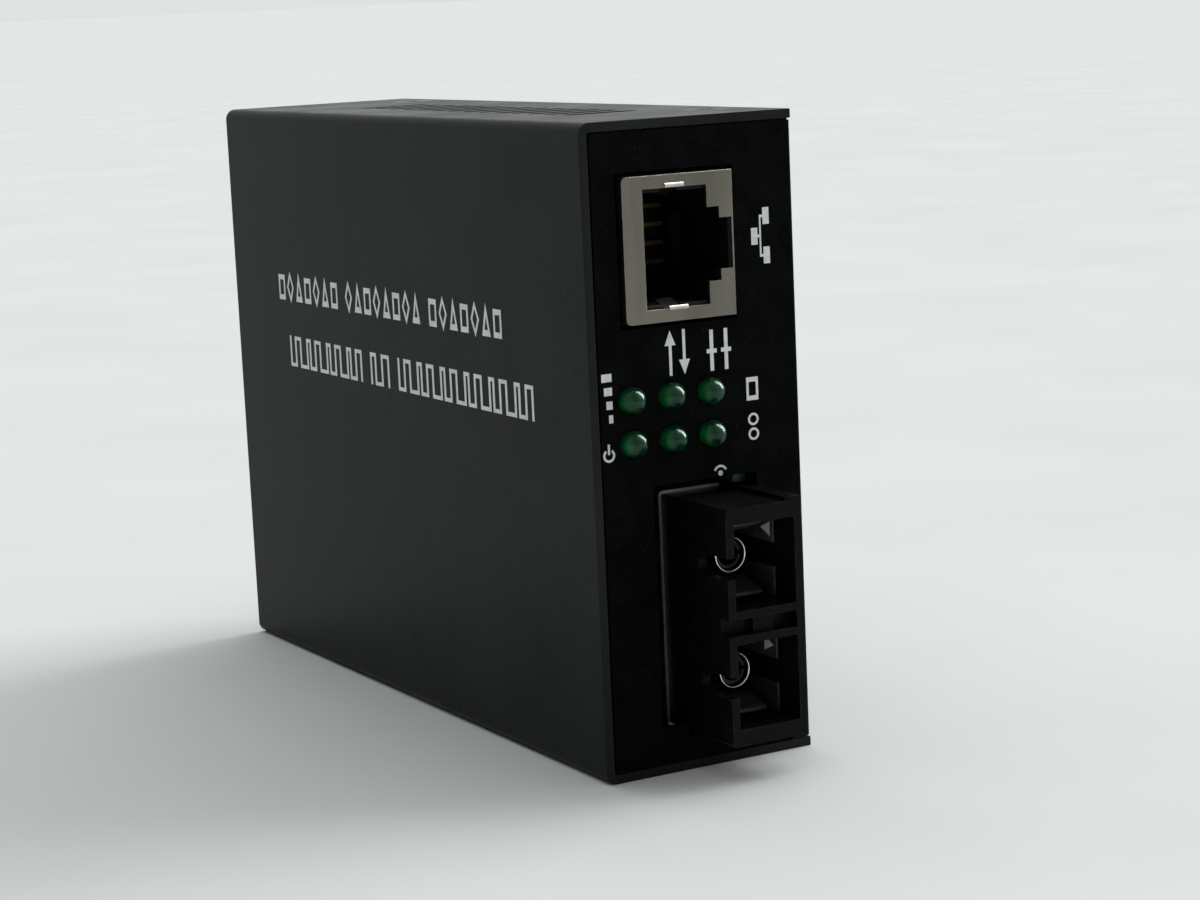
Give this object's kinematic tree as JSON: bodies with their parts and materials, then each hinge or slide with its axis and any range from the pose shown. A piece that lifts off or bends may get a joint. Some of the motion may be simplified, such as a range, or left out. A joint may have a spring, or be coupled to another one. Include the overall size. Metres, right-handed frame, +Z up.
{
  "type": "fibre media converter",
  "caption": "Small folded-steel fibre media converter standing on a narrow side, with a shielded RJ45 jack, status lights and a duplex SC fibre receptacle in front.",
  "frame": {"origin": "on the surface that the case stands on, under the middle of the bounding box", "axes": "+X from the printed cover face to the base plate, +Y from the front panel to the rear panel, +Z up along the case's height"},
  "size_m": [0.026, 0.1028, 0.07],
  "materials": {
    "case_paint": "fine-textured black powder coat",
    "screw_black": "black zinc",
    "zinc": "zinc plated",
    "circuit_board": "green solder mask",
    "nickel_shell": "nickel plated, satin",
    "jack_plastic": "moulded, satin",
    "gold_contact": "gold plated",
    "led_green": "clear green epoxy",
    "holder_plastic": "moulded nylon",
    "tinned_lead": "tinned",
    "receptacle_plastic": "moulded, satin",
    "barrel_metal": "turned, bright",
    "ceramic": "polished white zirconia",
    "tin_shell": "tin plated",
    "chip_epoxy": "moulded epoxy",
    "crystal_can": "drawn can",
    "ferrite": "sintered ferrite",
    "capacitor_sleeve": "shrunk sleeve",
    "resistor_chip": "glazed ceramic"
  },
  "bodies": {
    "root": {"cover": "case_paint", "tray": "case_paint", "cover_screws": "screw_black", "board_standoffs": "zinc", "board_screws": "zinc", "board": "circuit_board", "rj45_shield": "nickel_shell", "rj45_housing": "jack_plastic", "rj45_contacts": "gold_contact", "led_holder": "holder_plastic", "led_leads": "tinned_lead", "sc_housing": "receptacle_plastic", "sc_latch_upper": "receptacle_plastic", "sc_latch_lower": "receptacle_plastic", "sc_barrel_upper": "barrel_metal", "sc_barrel_lower": "barrel_metal", "sc_sleeve_upper": "ceramic", "sc_sleeve_lower": "ceramic", "sc_can_upper": "gold_contact", "sc_can_lower": "gold_contact", "sc_module_board": "circuit_board", "sc_module_pins": "tinned_lead", "sc_module_shield": "tin_shell", "line_transformer": "chip_epoxy", "converter_chip": "chip_epoxy", "converter_chip_leads": "tinned_lead", "crystal": "crystal_can", "regulator": "chip_epoxy", "power_inductor": "ferrite", "capacitor_large": "capacitor_sleeve", "capacitor_small": "capacitor_sleeve", "chip_resistors": "resistor_chip", "dc_inlet_body": "jack_plastic", "dc_inlet_pin": "tinned_lead", "dc_inlet_blades": "tinned_lead", "led_1": "led_green", "led_2": "led_green", "led_3": "led_green", "led_4": "led_green", "led_5": "led_green", "led_6": "led_green"}
  },
  "joints": []
}
